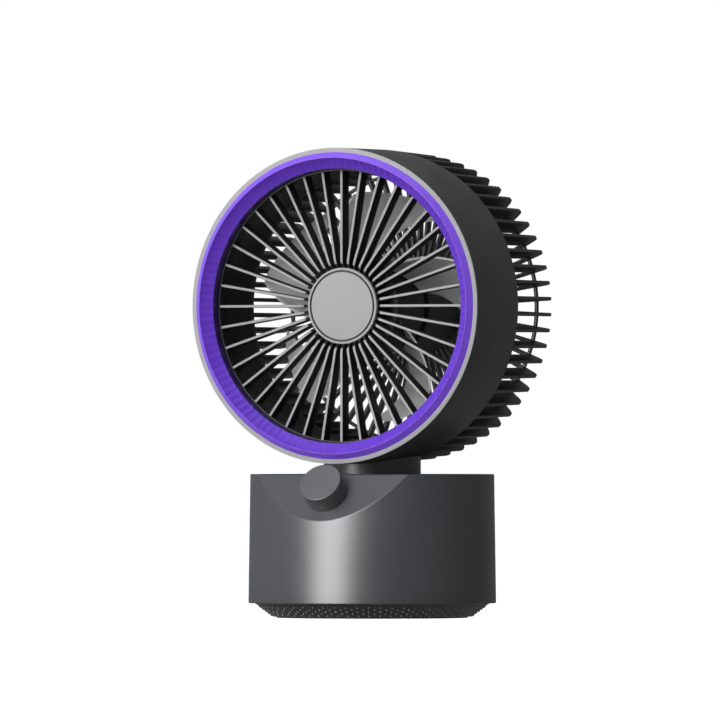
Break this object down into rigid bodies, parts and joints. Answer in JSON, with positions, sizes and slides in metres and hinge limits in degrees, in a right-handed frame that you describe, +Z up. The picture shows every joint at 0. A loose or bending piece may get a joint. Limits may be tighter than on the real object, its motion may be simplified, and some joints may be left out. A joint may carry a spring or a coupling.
{
  "type": "desk fan",
  "caption": "Small desk fan: round head with a lit front ring, radial grille and finned rear cage, tilting and swinging on a cylindrical weighted base with a control knob.",
  "frame": {"origin": "centre of the flat underside of the base", "axes": "+Z up, -Y is the front, the side that the air leaves; the head's axis lies along Y"},
  "size_m": [0.16, 0.1301, 0.2382],
  "materials": {
    "foot_plastic": "matte black with a fine raised dot texture",
    "rubber_pad": "matte black rubber",
    "base_plastic": "satin anthracite",
    "screw_steel": "zinc plated",
    "ballast_steel": "rolled steel",
    "inner_black": "moulded, unpolished",
    "circuit_board": "solder mask",
    "inlet_metal": "stamped and plated",
    "switch_body": "moulded",
    "motor_can": "drawn and plated",
    "acetal_white": "natural acetal",
    "pin_steel": "turned",
    "neck_plastic": "satin anthracite",
    "drum_plastic": "fine textured dark grey",
    "silver_trim": "satin light grey",
    "lit_purple": "translucent diffuser, lit violet",
    "lamp_board": "white solder mask",
    "grille_plastic": "dark grey with light grey front edges",
    "duct_black": "matte black",
    "cage_plastic": "matte black",
    "mount_aluminium": "die cast",
    "copper_winding": "enamelled copper on steel laminations",
    "impeller_grey": "satin grey",
    "bell_steel": "drawn steel",
    "magnet_black": "bonded ferrite",
    "knob_plastic": "satin grey"
  },
  "bodies": {
    "base": {"bottom_cover": "foot_plastic", "anti_slip_pad": "rubber_pad", "base_shell": "base_plastic", "base_screws": "screw_steel", "ballast_plate": "ballast_steel", "chassis_plate": "inner_black", "chassis_screws": "screw_steel", "control_board": "circuit_board", "power_inlet": "inlet_metal", "speed_switch": "switch_body", "switch_nut": "screw_steel", "gear_motor": "motor_can", "gear_motor_screws": "screw_steel", "thrust_washer": "acetal_white"},
    "turret": {"turret": "acetal_white", "turret_gear": "acetal_white", "tilt_pin": "pin_steel", "pin_clip": "pin_steel", "turret_circlip": "pin_steel"},
    "pinion": {"gear_motor_shaft": "pin_steel", "drive_pinion": "acetal_white"},
    "head": {"neck": "neck_plastic", "neck_screws": "screw_steel", "tilt_washers": "acetal_white", "head_shell": "drum_plastic", "front_bezel": "silver_trim", "light_ring": "lit_purple", "led_board": "lamp_board", "front_grille": "grille_plastic", "hub_badge": "silver_trim", "air_duct": "duct_black", "rear_cage": "cage_plastic", "cage_screws": "screw_steel", "rear_cap": "cage_plastic", "motor_mount": "mount_aluminium", "motor_bearings": "pin_steel", "motor_stator": "copper_winding", "motor_board": "circuit_board", "motor_screws": "screw_steel"},
    "rotor": {"impeller": "impeller_grey", "impeller_nut": "screw_steel", "rotor_bell": "bell_steel", "magnet_ring": "magnet_black", "motor_shaft": "pin_steel"},
    "knob": {"knob": "knob_plastic", "switch_spindle": "pin_steel"}
  },
  "joints": [
    {"name": "oscillation", "type": "hinge", "parent": "base", "child": "turret", "pos_m": [0, 0, 0.0475], "axis": [0, 0, 1], "range_deg": [-45, 45]},
    {"name": "pinion_spin", "type": "hinge", "parent": "base", "child": "pinion", "pos_m": [0, 0.03, 0.0475], "axis": [0, 0, 1], "range_deg": [-190, 190]},
    {"name": "head_tilt", "type": "hinge", "parent": "turret", "child": "head", "pos_m": [0, 0, 0.06], "axis": [1, 0, 0], "range_deg": [-5, 5]},
    {"name": "impeller_spin", "type": "hinge", "parent": "head", "child": "rotor", "pos_m": [0, 0, 0.1582], "axis": [0, 1, 0], "continuous": true},
    {"name": "knob_turn", "type": "hinge", "parent": "base", "child": "knob", "pos_m": [0, -0.05268, 0.06317], "axis": [0, -0.8192, 0.5736], "range_deg": [-270, 0]}
  ],
  "couplings": [
    {"joint": "pinion_spin", "follows": "oscillation", "ratio": -4}
  ]
}
